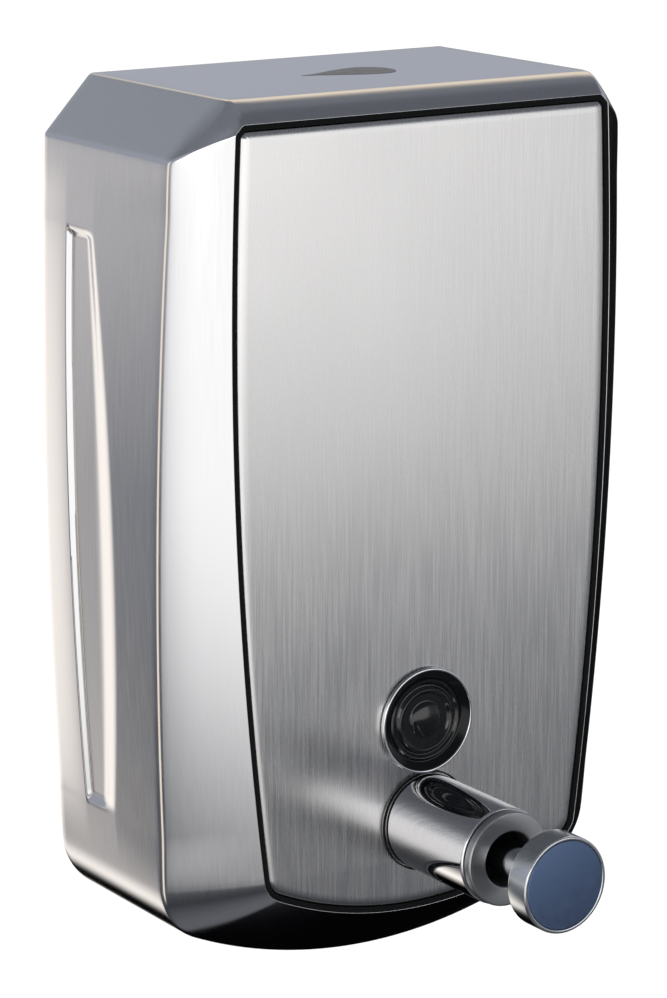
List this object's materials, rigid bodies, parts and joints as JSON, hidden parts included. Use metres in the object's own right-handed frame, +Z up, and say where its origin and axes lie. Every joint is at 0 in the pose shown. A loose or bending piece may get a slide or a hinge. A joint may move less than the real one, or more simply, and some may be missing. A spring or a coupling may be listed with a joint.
{
  "type": "wall mounted soap dispenser",
  "caption": "Pressed steel wall soap dispenser with brushed front panel, sight window and horizontal push pump; lifts off hooks on a wall plate once its bottom key lock is open.",
  "frame": {"origin": "wall face of the wall plate, on the centre line, 100 mm below the top face of the housing", "axes": "+X to the right seen from the front, +Y into the wall, +Z up"},
  "size_m": [0.1246, 0.1185, 0.2038],
  "materials": {
    "satin_steel": "pressed stainless sheet, satin to polished",
    "brushed_steel": "stainless sheet brushed upright",
    "zinced_steel": "zinc plated",
    "chrome": "polished chrome plate on brass",
    "satin_zinc": "satin chrome plate on zinc casting",
    "ball_steel": "ground stainless ball",
    "spring_steel": "drawn stainless wire",
    "tank_plastic": "moulded, translucent white",
    "pump_plastic": "moulded acetal",
    "black_plastic": "moulded, fine grain",
    "clear_plastic": "clear moulded acrylic",
    "rubber": "moulded nitrile",
    "brass": "turned"
  },
  "bodies": {
    "wall_mount": {"wall_plate": "zinced_steel"},
    "housing": {"housing_shell": "satin_steel", "front_panel": "brushed_steel", "hanger_plate": "zinced_steel", "hanger_screw_1": "zinced_steel", "hanger_screw_2": "zinced_steel", "hanger_screw_3": "zinced_steel", "hanger_screw_4": "zinced_steel", "tank": "tank_plastic", "fill_gasket": "rubber", "sight_bezel": "chrome", "sight_plug": "clear_plastic", "sight_spacer": "rubber", "sight_gasket": "rubber", "sight_nut": "black_plastic", "pump_barrel": "chrome", "barrel_end_ring": "satin_zinc", "pump_cylinder": "pump_plastic", "pump_spacer": "rubber", "pump_gasket": "rubber", "pump_nut": "brass", "rod_seal": "rubber", "inlet_valve_body": "pump_plastic", "suction_tube": "clear_plastic", "lock_body": "chrome", "lock_nut": "zinced_steel"},
    "plunger": {"push_button": "satin_zinc", "plunger_rod": "chrome", "piston": "pump_plastic", "piston_seal": "rubber", "outlet_duckbill": "rubber", "return_spring": "spring_steel"},
    "inlet_ball": {"inlet_ball": "ball_steel"},
    "lock_rotor": {"lock_plug": "brass", "lock_cam": "zinced_steel", "cam_screw": "zinced_steel"},
    "fill_cap": {"fill_cap": "black_plastic"}
  },
  "joints": [
    {"name": "housing_lift", "type": "slide", "parent": "wall_mount", "child": "housing", "axis": [0, 0, 1], "range_m": [0, 0.01]},
    {"name": "button_press", "type": "slide", "parent": "housing", "child": "plunger", "axis": [0, 1, 0], "range_m": [0, 0.012], "stiffness_N_per_m": 250, "springref_m": -0.008, "deforming": ["return_spring"]},
    {"name": "inlet_ball_lift", "type": "slide", "parent": "housing", "child": "inlet_ball", "axis": [0, 0, 1], "range_m": [0, 0.0025]},
    {"name": "lock_turn", "type": "hinge", "parent": "housing", "child": "lock_rotor", "pos_m": [0, -0.016, -0.09], "axis": [0, 0, 1], "range_deg": [0, 90]},
    {"name": "fill_cap_turn", "type": "hinge", "parent": "housing", "child": "fill_cap", "pos_m": [0, -0.008, 0.06], "axis": [0, 1, 0], "range_deg": [0, 90]}
  ]
}
